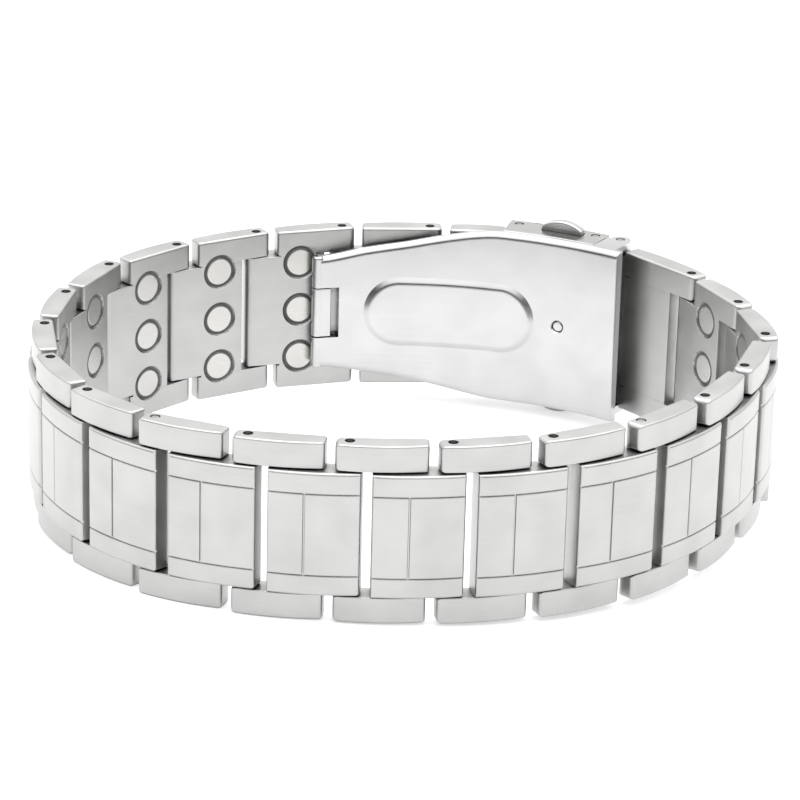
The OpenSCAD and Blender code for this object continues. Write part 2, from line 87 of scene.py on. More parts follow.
# The loop leans by this much on its lower button, and is centred, as the solids are
LEAN, CENTRING = math.radians(1.6244163971), (0.13156648, 0.01719676, 1.01682036)


def way(angle):
    return Vector((math.cos(angle), math.sin(angle)))


def on_loop(half_w, t):
    return Vector((half_w * math.cos(t), half_w * ROUNDNESS * math.sin(t)))


def walk(half_w):
    """The ellipse's angles at the hinges, one chord after the other."""
    stops = [CLASP_AT]
    for chord in CHORDS:
        t = stops[-1]
        guess = t + chord / half_w
        for _ in range(12):
            pace = half_w * math.hypot(math.sin(guess), ROUNDNESS * math.cos(guess))
            guess += (chord - (on_loop(half_w, guess) - on_loop(half_w, t)).length) / pace
        stops.append(guess)
    return stops


low, high = 25.0, 45.0
for _ in range(50):
    half_w = (low + high) / 2
    if walk(half_w)[-1] - CLASP_AT > 2 * math.pi:
        low = half_w
    else:
        high = half_w
stops = walk(half_w)
even = [on_loop(half_w, t) for t in stops]


def bearing(i):
    """The direction of link i."""
    d = even[i + 1] - even[i]
    return math.atan2(d.y, d.x) + math.radians(SETTLED[i - 1])


hinges = [even[1]]
for i in range(1, LINKS + 1):
    hinges.append(hinges[-1] + PITCH * way(bearing(i)))

# The clasp lies on a circle, as curved as the ellipse is there, through the first link's pins
hug = (stops[0] + stops[1]) / 2
half_d = half_w * ROUNDNESS
CLASP_R = math.hypot(half_w * math.sin(hug), half_d * math.cos(hug)) ** 3 / (half_w * half_d)
to_chord = math.sqrt(CLASP_R ** 2 - PITCH ** 2 / 4)
clasp_c = (hinges[0] + hinges[1]) / 2 + to_chord * way(bearing(1) + math.pi / 2)
first_r = CLASP_R + COVER_OUT
to_next = hinges[0] - clasp_c
FIRST = math.atan2(to_next.y, to_next.x) - math.acos(
    (CLASP_R ** 2 + first_r ** 2 - COVER_LINK_L ** 2) / (2 * CLASP_R * first_r))


def along(length, out=0.0):
    """The angle that a chord of this length takes on the clasp's circle."""
    return 2 * math.asin(length / 2 / (CLASP_R + out))


FOLD = -along(COVER_L, COVER_OUT)
BLADE_PIN = FOLD - along(FOLD_L, COVER_OUT)
KNUCKLE = BLADE_PIN + along(BLADE_L)
BUTTON = -along(BUTTON_AT, COVER_OUT)
# How far in from the clasp's circle the middle blade's strip and the inner blade lie
STRIP_IN = INNER + CLASP_R - to_chord + BLADE_GAP
STRIP_FACE = STRIP_IN + STRIP_T
BLADE_IN = STRIP_FACE + BLADE_GAP
BLADE_FACE = BLADE_IN + BLADE_T
FACE_R = CLASP_R - BLADE_FACE
# The knuckle stands 0.03 mm proud of the inner blade's face
KNUCKLE_OUT = KNUCKLE_R - BLADE_FACE - 0.03
hinges = ([clasp_c + (CLASP_R + COVER_OUT) * way(FIRST)] + hinges
          + [clasp_c + (CLASP_R + BLADE_PIN_OUT) * way(FIRST + BLADE_PIN)])

lean_way = (clasp_c + CLASP_R * way(FIRST + BUTTON)).normalized()
SEAT = (Matrix.Scale(0.001, 4) @ Matrix.Translation(CENTRING)
        @ Matrix.Rotation(LEAN, 4, (lean_way.y, -lean_way.x, 0)))
IN_CLASP = SEAT @ Matrix.Translation((*clasp_c, 0)) @ Matrix.Rotation(FIRST, 4, "Z")


def at_hinge(i):
    """The place of the link that runs from hinge i to the next."""
    d = hinges[i + 1] - hinges[i]
    return (SEAT @ Matrix.Translation((*hinges[i], 0))
            @ Matrix.Rotation(math.atan2(d.y, d.x), 4, "Z"))


def polar(angle, out):
    """X and Y in the clasp, at an angle and so far out from its circle."""
    return ((CLASP_R + out) * math.cos(angle), (CLASP_R + out) * math.sin(angle))


# Finishes
def linear(hex_colour):
    """An sRGB hex value as linear red, green, blue, alpha."""
    parts = [int(hex_colour[k:k + 2], 16) / 255 for k in (0, 2, 4)]
    return (*[c / 12.92 if c <= 0.04045 else ((c + 0.055) / 1.055) ** 2.4 for c in parts], 1)


def add(tree, kind, settings=None, links=None, tones=()):
    """Adds a node with its settings, the sockets that feed it and the tones of a ramp."""
    n = tree.nodes.new(kind)
    for key, value in (settings or {}).items():
        if isinstance(key, int) or key in n.inputs:
            n.inputs[key].default_value = value
        else:
            setattr(n, key, value)
    for key, socket in (links or {}).items():
        tree.links.new(socket, n.inputs[key])
    for k, (at, colour) in enumerate(tones):
        e = n.color_ramp.elements[k] if k < 2 else n.color_ramp.elements.new(at)
        e.position, e.color = at, colour
    return n


def surface(name, dark, light, rough, brush, soft, brush_mm=0.16, gap_shade_tone=0.1, metallic=1):
    """A surface with fine lines round the loop, soft patches where it isn't even, and painted
    shade in its narrow gaps.
    """
    m = bpy.data.materials.new(name)
    m.use_nodes = True
    t = m.node_tree
    shader = t.nodes["Principled BSDF"]
    where = add(t, "ShaderNodeTexCoord").outputs["Object"]
    # Lines 8.3 mm long, 120 to the metre, and brush_mm apart across the band
    strokes = add(t, "ShaderNodeMapping", {"Scale": (120, 120, 1 / (brush_mm * 0.001))},
                  {"Vector": where}).outputs[0]
    lines = add(t, "ShaderNodeTexNoise", {"Scale": 1, "Detail": 2, "Roughness": 0.6},
                {"Vector": strokes}).outputs["Fac"]
    # Patches 3.8 mm across, 260 to the metre
    patches = add(t, "ShaderNodeTexNoise", {"Scale": 260, "Detail": 1.5, "Roughness": 0.45},
                  {"Vector": where}).outputs["Fac"]
    tone = add(t, "ShaderNodeMath", {"operation": "MULTIPLY_ADD", 1: 0.15, 2: 0.42},
               {0: lines}).outputs[0]
    tone = add(t, "ShaderNodeMath", {"operation": "MULTIPLY_ADD", 1: 0.5},
               {0: patches, 2: tone}).outputs[0]
    colour = add(t, "ShaderNodeValToRGB", {}, {"Fac": tone},
                 [(0.45, linear(dark)), (0.85, linear(light))]).outputs["Color"]
    # Painted shade: the colour is darkened in the narrow gaps, within 1.2 mm of the next surface
    open_sky = add(t, "ShaderNodeAmbientOcclusion",
                   {"samples": 8, "Distance": 0.0012}).outputs["AO"]
    painted_gap_shade = add(t, "ShaderNodeMapRange",
                {"From Min": 0.15, "From Max": 0.56, "To Min": gap_shade_tone, "To Max": 1},
                {"Value": open_sky}).outputs[0]
    colour = add(t, "ShaderNodeMix", {"data_type": "RGBA", "blend_type": "MULTIPLY", 0: 1},
                 {6: colour, 7: painted_gap_shade}).outputs[2]
    spread = add(t, "ShaderNodeMapRange",
                 {"From Min": 0.45, "From Max": 0.85,
                  "To Min": rough * 0.8, "To Max": rough * 1.25}, {"Value": tone}).outputs[0]
    wave = add(t, "ShaderNodeBump", {"Strength": soft, "Distance": 0.0003},
               {"Height": patches}).outputs[0]
    grain = add(t, "ShaderNodeBump", {"Strength": brush, "Distance": 0.00002},
                {"Height": lines, "Normal": wave}).outputs[0]
    shader.inputs["Metallic"].default_value = metallic
    for socket, source in (("Base Color", colour), ("Roughness", spread), ("Normal", grain)):
        t.links.new(source, shader.inputs[socket])
    return m


# Brushed stainless steel: light grey, a soft sheen drawn out along the loop
LINK_STEEL = surface("brushed_stainless_steel", "A6A6A5", "BDBDBC", 0.32, brush=0.04, soft=0.25)
# Polished stainless steel sheet: lighter and smoother than the links
BLADE_STEEL = surface("polished_stainless_sheet", "B6B6B6", "C8C8C8", 0.2, brush=0.03, soft=0.12)
# Stamped stainless steel: the cover and the middle blade, smooth and a little darker
COVER_STEEL = surface("stamped_stainless_steel", "9E9E9D", "B4B4B3", 0.22, brush=0.05, soft=0.1)
# Turned stainless steel: the buttons, light with a close grain
BUTTON_STEEL = surface("turned_stainless_steel", "B0B0AF", "C6C6C5", 0.2, brush=0.06, soft=0.08)
# Drawn stainless steel wire, its cut ends dull and dark
PIN_STEEL = surface("drawn_stainless_wire", "8E8E8D", "A8A8A7", 0.32, brush=0.1, soft=0.1,
                    brush_mm=0.1)
# Nickel plating on the magnets: smooth, a little warm, slightly hazy
NICKEL = surface("nickel_plating", "B5B4B1", "C8C7C4", 0.24, brush=0.02, soft=0.15, brush_mm=0.3,
                 gap_shade_tone=0.5)
# Painted shade round the magnets: a dark grey ring standing for the shaded gap in each bore, a
# little glossy, uneven
BORE_SHADE = surface("painted_bore_shade", "4C4C4B", "5E5E5D", 0.3, brush=0.02, soft=0.5, brush_mm=0.3,
               gap_shade_tone=0.6, metallic=0)


# Modelling
def near(a, b, slack=1e-3):
    return abs(a - b) < slack


def only(*objs):
    """Selects just these objects, the first of them active."""
    bpy.ops.object.select_all(action="DESELECT")
    for o in objs:
        o.select_set(True)
    bpy.context.view_layer.objects.active = objs[0]


def pick(obj, kind, test):
    """Opens obj in edit mode with the elements selected whose middle, and direction, pass."""
    only(obj)
    bpy.ops.object.mode_set(mode="EDIT")
    bpy.ops.mesh.select_mode(type=kind)
    bpy.ops.mesh.select_all(action="DESELECT")
    shape = bmesh.from_edit_mesh(obj.data)
    for e in {"VERT": shape.verts, "EDGE": shape.edges, "FACE": shape.faces}[kind]:
        if kind == "VERT":
            e.select_set(test(e.co))
        elif kind == "EDGE":
            a, b = e.verts
            e.select_set(test((a.co + b.co) / 2, b.co - a.co))
        else:
            e.select_set(test(e.calc_center_median(), e.normal))
    shape.select_flush_mode()
    bmesh.update_edit_mesh(obj.data)


def done():
    bpy.ops.object.mode_set(mode="OBJECT")


def settle(obj):
    """Applies the object's place to its mesh."""
    only(obj)
    bpy.ops.object.transform_apply(location=True, rotation=True, scale=True)


def discard(*objs):
    only(*objs)
    bpy.ops.object.delete()


def join(objs):
    only(*objs)
    bpy.ops.object.join()
    return bpy.context.object


def modify(obj, kind, **settings):
    """Adds a modifier and applies it."""
    m = obj.modifiers.new(kind.lower(), kind)
    for key, value in settings.items():
        setattr(m, key, value)
    only(obj)
    bpy.ops.object.modifier_apply(modifier=m.name)


def combine(obj, operation, tools):
    """Joins the tools to obj, or cuts them out of it."""
    for tool in tools:
        modify(obj, "BOOLEAN", operation=operation, object=tool, solver="EXACT")
    discard(*tools)


def block(lo, hi):
    """A box between two corners."""
    bpy.ops.mesh.primitive_cube_add(size=1, location=[(a + b) / 2 for a, b in zip(lo, hi)],
                                    scale=[b - a for a, b in zip(lo, hi)])
    settle(bpy.context.object)
    return bpy.context.object


def rod(radius, z0, z1, at=(0, 0), sides=40):
    """A round bar across the band."""
    bpy.ops.mesh.primitive_cylinder_add(vertices=sides, radius=radius, depth=z1 - z0,
                                        location=(at[0], at[1], (z0 + z1) / 2))
    settle(bpy.context.object)
    return bpy.context.object


def shift(obj, test, by):
    """Moves the points that pass."""
    pick(obj, "VERT", test)
    bpy.ops.transform.translate(value=by)
    done()


def divide(obj, length, cuts):
    """Divides the edges along X that are longer than half the length."""
    pick(obj, "EDGE", lambda c, d: abs(d.x) > 0.5 * length)
    bpy.ops.mesh.subdivide(number_cuts=cuts)
    done()


def slices(obj, axis, places):
    """Cuts obj by planes across an axis."""
    for at in places:
        pick(obj, "FACE", lambda c, n: True)
        co, no = [0, 0, 0], [0, 0, 0]
        co[axis], no[axis] = at, 1
        bpy.ops.mesh.bisect(plane_co=co, plane_no=no)
        done()


def soften(obj, test, width, segments=3):
    """Rounds the edges that pass."""
    pick(obj, "EDGE", test)
    bpy.ops.mesh.bevel(offset=width, segments=segments, affect="EDGES", clamp_overlap=True)
    done()


def weigh(obj, test, width):
    """Marks the edges that pass for round_marked, with the width in mm of their rounding."""
    pick(obj, "EDGE", test)
    bpy.ops.transform.edge_bevelweight(value=width)
    done()


def round_marked(obj, segments=3):
    modify(obj, "BEVEL", limit_method="WEIGHT", width=1, segments=segments, profile=0.5,
           use_clamp_overlap=False, offset_type="OFFSET")


def trim_edges(obj, width):
    """Rounds all edges of a plate after its flat faces are made one face each."""
    pick(obj, "FACE", lambda c, n: True)
    bpy.ops.mesh.dissolve_limited(angle_limit=math.radians(0.1), delimit=set())
    done()
    modify(obj, "BEVEL", limit_method="ANGLE", angle_limit=math.radians(50), width=width,
           segments=3)


def smooth(obj):
    only(obj)
    bpy.ops.object.shade_smooth_by_angle(angle=math.radians(35))
    modify(obj, "WEIGHTED_NORMAL", keep_sharp=True, weight=50)
    return obj


def other_rim(obj):
    """The same piece under the other rim."""
    only(obj)
    bpy.ops.object.duplicate()
    twin = bpy.context.object
    pick(twin, "FACE", lambda c, n: True)
    bpy.ops.transform.mirror(constraint_axis=(False, False, True), orient_type="GLOBAL",
                             center_override=(0, 0, MID_Z))
    bpy.ops.mesh.normals_make_consistent(inside=False)
    done()
    return twin


def dress(model, material, nodes, body_name="bracelet"):
    """Puts a copy of the model, with its own mesh, in the place of each CAD node."""
    if material:
        model.data.materials.append(material)
    for node, matrix in nodes.items():
        only(model)
        bpy.ops.object.duplicate()
        o = bpy.context.object
        o.name = o.data.name = "dressed_" + node
        o.matrix_world = matrix @ o.matrix_world
        settle(o)
        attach(o, body_name)
        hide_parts(node)
    discard(model)


# Links
def bowed(x0, x1, z0, z1, out, crown, chord, cuts=11):
    """A bar whose outer face is bowed about its crown, by BOW over the chord."""
    half = chord / 2
    r = (half ** 2 + BOW ** 2) / (2 * BOW)
    bar = block((x0, -out, z0), (x1, INNER, z1))
    divide(bar, x1 - x0, cuts)
    for k in range(cuts + 2):
        x = x0 + (x1 - x0) * k / (cuts + 1)
        back = r - math.sqrt(r * r - (x - crown) ** 2)
        if back > 1e-5:
            shift(bar, lambda p: near(p.x, x) and p.y < 0, (0, back, 0))
    return bar


def ear(x0, x1):
    """The ear on the rim at z 0, its outer face bowed, its corners rounded."""
    e = bowed(x0, x1, 0, EAR_H, EAR_OUT, (x0 + x1) / 2, x1 - x0)
    for x, z, width in ((x0, 0, 0.45), (x0, EAR_H, 0.36), (x1, 0, 0.27), (x1, EAR_H, 0.12)):
        weigh(e, lambda c, d: near(c.x, x) and near(c.z, z) and abs(d.y) > 0.1, width)
    for x, inner in ((x0, 0.75), (x1, 0.35)):
        weigh(e, lambda c, d: near(c.x, x) and abs(d.z) > 0.1 and c.y < 0, 0.35)
        weigh(e, lambda c, d: near(c.x, x) and abs(d.z) > 0.1 and c.y > 0, inner)
    weigh(e, lambda c, d: near(c.z, 0) and c.y < 0 and abs(d.x) > 0.1, 0.2)
    weigh(e, lambda c, d: near(c.z, EAR_H) and c.y < 0 and abs(d.x) > 0.1, 0.12)
    weigh(e, lambda c, d: near(c.z, 0) and c.y > 0 and abs(d.x) > 0.1, 0.28)
    round_marked(e, 4)
    return e


def body(x1, end_r):
    """The middle of a link with its plate, grooves and far tongue."""
    b = bowed(PLATE_START, x1, BODY_Z0, BODY_Z1, PLATE_OUT, PITCH / 2, PITCH)
    for z, corner in ((BODY_Z0, 0.35), (BODY_Z1, 0.12)):
        weigh(b, lambda c, d: near(c.z, z) and c.y < 0 and abs(d.x) > 0.1, 0.3)
        weigh(b, lambda c, d: near(c.z, z) and c.y > 0 and abs(d.x) > 0.1, 0.1)
        weigh(b, lambda c, d: near(c.x, x1) and near(c.z, z) and abs(d.y) > 0.1, corner)
    for x, outer, inner in ((PLATE_START, 0.18, 0.1), (x1, 0.25, end_r)):
        weigh(b, lambda c, d: near(c.x, x) and c.y < 0 and abs(d.z) > 0.1, outer)
        weigh(b, lambda c, d: near(c.x, x) and c.y > 0 and abs(d.z) > 0.1, inner)
    round_marked(b, 4)
    # A groove across near each end
    places = [(z + up, depth) for z in (BODY_Z0 + GROOVE_AT, BODY_Z1 - GROOVE_AT)
              for up, depth in GROOVE]
    slices(b, 2, [z for z, _ in places])
    upright = PLATE_START + UPRIGHT_AT
    slices(b, 0, [upright + x for x in (-0.11, -UPRIGHT_HALF, UPRIGHT_HALF, 0.12)])
    for z, depth in places:
        if depth:
            shift(b, lambda p: near(p.z, z) and p.y < -1, (0, depth, 0))
    # The upright one runs from floor to floor of those two
    z0, z1 = places[1][0], places[7][0]
    for x in (upright - UPRIGHT_HALF, upright + UPRIGHT_HALF):
        shift(b, lambda p: near(p.x, x) and z0 + 0.01 < p.z < z1 - 0.01 and p.y < -1
              and not any(near(p.z, z) for z, d in places if d > 0.1), (0, UPRIGHT_DEPTH, 0))
    return b


def tall_tongue(x, to_x):
    """A tongue nearly as tall as the band, rounded about the pin at x."""
    tip = x - INNER if to_x > x else x + INNER
    a, b = sorted((tip, to_x))
    t = block((a, SINK - INNER, TONGUE_IN), (b, INNER - SINK, BAND - TONGUE_IN))
    weigh(t, lambda c, d: near(c.x, tip) and abs(d.z) > 1, 0.88)
    weigh(t, lambda c, d: not near(c.z, MID_Z, 1) and abs(d.x) > 0.5, 0.1)
    round_marked(t, 6)
    return t


def bore_drill(z):
    """A cutter for a magnet's bore, with a chamfered mouth."""
    depth = BORE_DEEP + 1
    bpy.ops.mesh.primitive_cylinder_add(vertices=48, radius=BORE_R, depth=depth,
                                        rotation=(math.pi / 2, 0, 0),
                                        location=(MAGNET_AT, INNER + 1 - depth / 2, z))
    d = bpy.context.object
    settle(d)
    slices(d, 1, [INNER - 0.14, INNER])
    pick(d, "VERT", lambda p: p.y > INNER - 0.05)
    wider = (BORE_R + MOUTH) / BORE_R
    bpy.ops.transform.resize(value=(wider, 1, wider), center_override=(MAGNET_AT, INNER, z))
    done()
    return d


def link(ears, web_stop, others, holes, bores=()):
    """A link of two ears, the web between them and its other parts, with its holes and bores."""
    lower = ear(*ears)
    web = block((PLATE_START + SINK, -WEB_OUT, WEB_IN),
                (web_stop - 0.35, INNER - SINK, BAND - WEB_IN))
    parts = [lower, other_rim(lower), web, *others]
    for part in parts:
        combine(part, "DIFFERENCE", [rod(HOLE_R, -1, BAND + 1, (x, 0)) for x in holes]
                + [bore_drill(z) for z in bores])
    return smooth(join(parts))


dress(link((-EAR_END, EAR_STOP), EAR_STOP, [body(PLATE_STOP, 0.7)], (0, PITCH), MAGNET_ROWS),
      LINK_STEEL, {"link_%02d" % i: at_hinge(i) for i in range(1, LINKS + 1)})

# The two end links
far = COVER_LINK_L
stop = far - EAR_END - LINK_GAP
dress(link((EYE_R + SHELL_GAP, stop), stop,
           [body(far + PLATE_START - LINK_GAP, 0.7), tall_tongue(0, 2.5)], (0, far)),
      LINK_STEEL, {"end_link_cover": at_hinge(0)})
far = (hinges[LINKS + 2] - hinges[LINKS + 1]).length
stop = far - EYE_R - BLADE_END_GAP
dress(link((-EAR_END, stop - SIDE_GAP), stop,
           [body(stop, 0.35), tall_tongue(far, stop - 1)], (0, far)),
      LINK_STEEL, {"end_link_blade": at_hinge(LINKS + 1)})

# A set of three magnets, each a plated disc with rounded edges in a dark ring of painted shade
# for the shaded gap in its bore
discs, rings = [], []
for z in MAGNET_ROWS:
    disc = rod(MAGNET_R, 0, MAGNET_T, sides=48)
    soften(disc, lambda c, d: abs(d.z) < 0.001, 0.16, 4)
    ring = rod(BORE_R, 0, SHADE_RING_T, sides=48)
    pick(ring, "FACE", lambda c, n: n.z > 0.9)
    bpy.ops.mesh.inset(thickness=0.12, depth=-0.07)
    bpy.ops.mesh.inset(thickness=0.13, depth=0.1)
    done()
    for part, deep in ((disc, MAGNET_SUNK + MAGNET_T), (ring, 0.15 + SHADE_RING_T)):
        part.matrix_world = (Matrix.Translation((MAGNET_AT, INNER - deep, z))
                             @ Matrix.Rotation(-math.pi / 2, 4, "X"))
        settle(part)
    discs.append(disc)
    rings.append(ring)
discs, rings = join(discs), join(rings)
discs.data.materials.append(NICKEL)
rings.data.materials.append(BORE_SHADE)
dress(smooth(join([discs, rings])), None,
      {"magnets_%02d" % i: at_hinge(i) for i in range(1, LINKS + 1)})


def pin(radius, z0, z1, at):
    """A pin with its ends rounded over."""
    p = rod(radius, z0, z1, at, 28)
    soften(p, lambda c, d: abs(d.z) < 0.001, 0.12)
    return smooth(p)


# Hinge pins, sunk a little into the ears, but for the two adjusting pins
pins = []
for i in range(1, LINKS + 2):
    sunk = PIN_FLUSH if i in ADJUSTING_PINS else PIN_SUNK
    pins.append(pin(PIN_R, sunk, BAND - sunk, hinges[i]))
dress(join(pins), PIN_STEEL, {"link_pins": SEAT})


# The clasp
def bend(obj, radius, angle):
    """Bends a flat piece along the loop: X 0 lands at the angle, Y 0 at the radius."""
    xs = [v.co.x for v in obj.data.vertices]
    modify(obj, "SIMPLE_DEFORM", deform_method="BEND", deform_axis="Z",
           angle=(max(xs) - min(xs)) / radius)
    obj.matrix_world = (Matrix.Rotation(angle + math.pi / 2, 4, "Z")
                        @ Matrix.Translation((0, -radius, 0)) @ obj.matrix_world)
    settle(obj)


def strip(x0, x1, y0, y1, wide, cuts, width, angle):
    """A bent strip of sheet with rounded long edges, y counted in towards the wrist."""
    s = block((x0, y0, MID_Z - wide / 2), (x1, y1, MID_Z + wide / 2))
    divide(s, x1 - x0, cuts)
    weigh(s, lambda c, d: abs(d.x) > 0.01 or near(c.x, x0) or near(c.x, x1), width)
    round_marked(s)
    bend(s, CLASP_R, angle)
    return s


def between(x, points):
    """Height of a smooth line through the points, at x."""
    if x <= points[0][0]:
        return points[0][1]
    for k in range(len(points) - 1):
        (xa, ya), (xb, yb) = points[k], points[k + 1]
        if x <= xb:
            before = points[k - 1] if k else (xa, ya)
            after = points[k + 2] if k + 2 < len(points) else (xb, yb)
            ma = (yb - before[1]) / (xb - before[0]) if k else 0
            mb = (after[1] - ya) / (after[0] - xa) if k + 2 < len(points) else 0
            s, w = (x - xa) / (xb - xa), xb - xa
            return ((2 * s ** 3 - 3 * s ** 2 + 1) * ya + (s ** 3 - 2 * s ** 2 + s) * w * ma
                    + (3 * s ** 2 - 2 * s ** 3) * yb + (s ** 3 - s ** 2) * w * mb)
    return points[-1][1]


def field():
    """The raised field: a bar with round ends on the flat blade, its side shaped by steps."""
    at = -along(FIELD_AT) * FACE_R
    bpy.ops.mesh.primitive_cylinder_add(vertices=72, radius=FIELD_W / 2, depth=FIELD_DEEP,
                                        rotation=(math.pi / 2, 0, 0),
                                        location=(at, -FIELD_DEEP / 2, MID_Z))
    f = bpy.context.object
    settle(f)
    half = (FIELD_L - FIELD_W) / 2
    shift(f, lambda p: p.x > at + 0.01, (half, 0, 0))
    shift(f, lambda p: p.x < at - 0.01, (-half, 0, 0))
    pick(f, "FACE", lambda c, n: n.y > 0.9)
    for thick, rise in FIELD_STEPS:
        bpy.ops.mesh.inset(thickness=thick, depth=rise)
    done()
    slices(f, 0, [at + FIELD_L * (k / 28 - 0.5) for k in range(1, 28)])
    return f


def flat_sheet(length):
    """The inner blade's sheet before it is bent, wider from the knuckle's end to the other."""
    squeeze = TAPER_L * FACE_R / CLASP_R
    rise = BAND / 2 + BLADE_PROUD - BLADE_W / 2
    line = [((s - 0.5) * squeeze, BLADE_W / 2 + t * rise) for s, t in TAPER]
    # Two high, so that scaling by half the width in mm gives that width
    sheet = block((-length, -BLADE_T, MID_Z - 1), (0, 0, MID_Z + 1))
    cuts = 67
    divide(sheet, length, cuts)
    for k in range(cuts + 2):
        x = -length * k / (cuts + 1)
        off = FACE_R * math.sin(-x / FACE_R - along(TAPER_AT))
        pick(sheet, "VERT", lambda p: near(p.x, x))
        bpy.ops.transform.resize(value=(1, 1, between(off, line)), center_override=(0, 0, MID_Z))
        done()
    # Long edges and the wide end: rounded well towards the wrist, slightly on the back
    weigh(sheet, lambda c, d: near(c.y, 0) and abs(d.z) < 1 and abs(c.z - MID_Z) > 1, 0.75)
    weigh(sheet, lambda c, d: near(c.y, -BLADE_T) and abs(d.z) < 1 and abs(c.z - MID_Z) > 1, 0.15)
    weigh(sheet, lambda c, d: near(c.x, -length) and near(c.y, 0) and abs(d.z) > 1, 0.25)
    weigh(sheet, lambda c, d: near(c.x, -length) and abs(d.y) > 0.1, 0.1)
    round_marked(sheet, 7)
    return sheet


def inner_blade():
    """The long blade: a bent sheet with its window, hole and field, its barrel and two lugs."""
    sheet = flat_sheet((KNUCKLE - BLADE_PIN + along(BLADE_END)) * FACE_R)
    half = KNUCKLE_W / 2 + SIDE_GAP
    notch = block((-along(PAD_L + SLOT) * FACE_R, -2, MID_Z - half), (3, 2, MID_Z + half))
    hole_at = (-along(STUD_AT) * FACE_R, 0, MID_Z)
    hole = rod(HOLE_IN_BLADE_R, -2, 2, sides=32)
    hole.matrix_world = Matrix.Translation(hole_at) @ Matrix.Rotation(-math.pi / 2, 4, "X")
    settle(hole)
    # Flared from a little under the face, for a countersunk mouth
    slices(hole, 1, [-0.12])
    pick(hole, "VERT", lambda p: p.y > 0.1)
    bpy.ops.transform.resize(value=(3.6, 1, 3.6), center_override=hole_at)
    done()
    combine(sheet, "DIFFERENCE", [notch, hole])
    sheet = join([sheet, field()])
    bend(sheet, FACE_R, KNUCKLE)
    parts = [sheet]
    # The rolled barrel, in two lengths beside the window
    centre = polar(KNUCKLE, KNUCKLE_OUT)
    for side in (-1, 1):
        a, b = sorted((MID_Z + side * half, MID_Z + side * BLADE_W / 2))
        roll = rod(KNUCKLE_R, a, b, centre)
        soften(roll, lambda c, d: abs(d.z) < 0.01 and abs(c.z - MID_Z) > half + 0.1, 0.3, 5)
        combine(roll, "DIFFERENCE", [rod(KNUCKLE_PIN_R + 0.05, a - 1, b + 1, centre, 24)])
        parts.append(roll)
    # Two lugs at the wide end, with eyes round the blade's pin
    eye_at = CLASP_R + BLADE_PIN_OUT
    for z in (-BLADE_PROUD, BAND + BLADE_PROUD - BLADE_T):
        # It starts within the sheet, behind the rounding of its long edge
        lug = block((FACE_R + 0.76, -EYE_R - SIDE_GAP, z), (eye_at, 1.45, z + BLADE_T))
        combine(lug, "UNION", [rod(EYE_R, z, z + BLADE_T, (eye_at, 0))])
        trim_edges(lug, 0.15)
        combine(lug, "DIFFERENCE", [rod(HOLE_R, z - 1, z + 2, (eye_at, 0))])
        lug.matrix_world = Matrix.Rotation(BLADE_PIN, 4, "Z")
        settle(lug)
        parts.append(lug)
    return smooth(join(parts))


def middle_blade():
    """The strip between cover and inner blade: barrel, knuckle with its pad, and the stud."""
    long = (KNUCKLE - FOLD) * CLASP_R
    half_sink = SINK / 2
    parts = [strip(-long, -along(KNUCKLE_L) * CLASP_R, STRIP_IN, STRIP_FACE, STRIP_W, 40, 0.12,
                   KNUCKLE),
             strip(-along(KNUCKLE_L + KNUCKLE_R) * CLASP_R, 0, STRIP_IN + half_sink,
                   STRIP_FACE + half_sink, KNUCKLE_W, 4, 0.08, KNUCKLE),
             strip(-along(PAD_L) * CLASP_R, 0, STRIP_IN + SINK, BLADE_FACE, KNUCKLE_W, 2, 0.12,
                   KNUCKLE),
             strip(-long - 0.35, -long + 1.1, -COVER_OUT, STRIP_FACE - half_sink, STRIP_W - SINK,
                   2, 0.1, KNUCKLE)]
    for centre, radius, half in ((polar(KNUCKLE, KNUCKLE_OUT), KNUCKLE_R, KNUCKLE_W / 2),
                                 (polar(FOLD, COVER_OUT), EYE_R, FOLD_W / 2)):
        roll = rod(radius, MID_Z - half, MID_Z + half, centre, 48)
        soften(roll, lambda c, d: abs(d.z) < 0.01, 0.1)
        parts.append(roll)
    root = STRIP_IN + STRIP_T / 2
    stud = rod(STUD_R, 0, BLADE_FACE - STUD_SUNK - root, sides=32)
    soften(stud, lambda c, d: abs(d.z) < 0.001, 0.2, 4)
    stud.matrix_world = (Matrix.Rotation(KNUCKLE - along(STUD_AT), 4, "Z")
                         @ Matrix.Translation((CLASP_R - root, 0, MID_Z))
                         @ Matrix.Rotation(-math.pi / 2, 4, "Y"))
    settle(stud)
    # The pad, the knuckle and the stud are as polished as the blade that they show in
    polished = [parts[2], parts[4], stud]
    parts.append(stud)
    for part in parts:
        part.data.materials.append(BLADE_STEEL if part in polished else COVER_STEEL)
    return smooth(join(parts))


def cover():
    """The cover: two walls with eyes and a slot for the button, and the plate outside."""
    outer = COVER_OUT + EYE_R
    long = -FOLD * CLASP_R
    end = along(EYE_R + SHELL_GAP) * CLASP_R
    z0 = -WALL_PROUD
    eyes = [polar(angle, COVER_OUT) for angle in (0, FOLD)]
    wall = block((-long - EYE_R, -outer, z0), (EYE_R, BLADE_IN - BLADE_GAP, z0 + WALL_T))
    divide(wall, long + 2 * EYE_R, 15)
    bend(wall, CLASP_R, 0)
    combine(wall, "UNION", [rod(EYE_R, z0, z0 + WALL_T, at, 48) for at in eyes])
    trim_edges(wall, 0.13)
    reach = BUTTON_HALF + BUTTON_GAP
    window = block((CLASP_R - BUTTON_GAP, -reach, z0 - 1),
                   (CLASP_R + BUTTON_T + BUTTON_GAP, reach, z0 + 2))
    window.matrix_world = Matrix.Rotation(BUTTON, 4, "Z")
    settle(window)
    combine(wall, "DIFFERENCE", [window] + [rod(HOLE_R, z0 - 1, z0 + 2, at) for at in eyes])
    plate = strip(-long + end, -end, -outer, SHELL_T - outer, BAND + 2 * WALL_PROUD, 15, 0.16, 0)
    return smooth(join([wall, other_rim(wall), plate]))


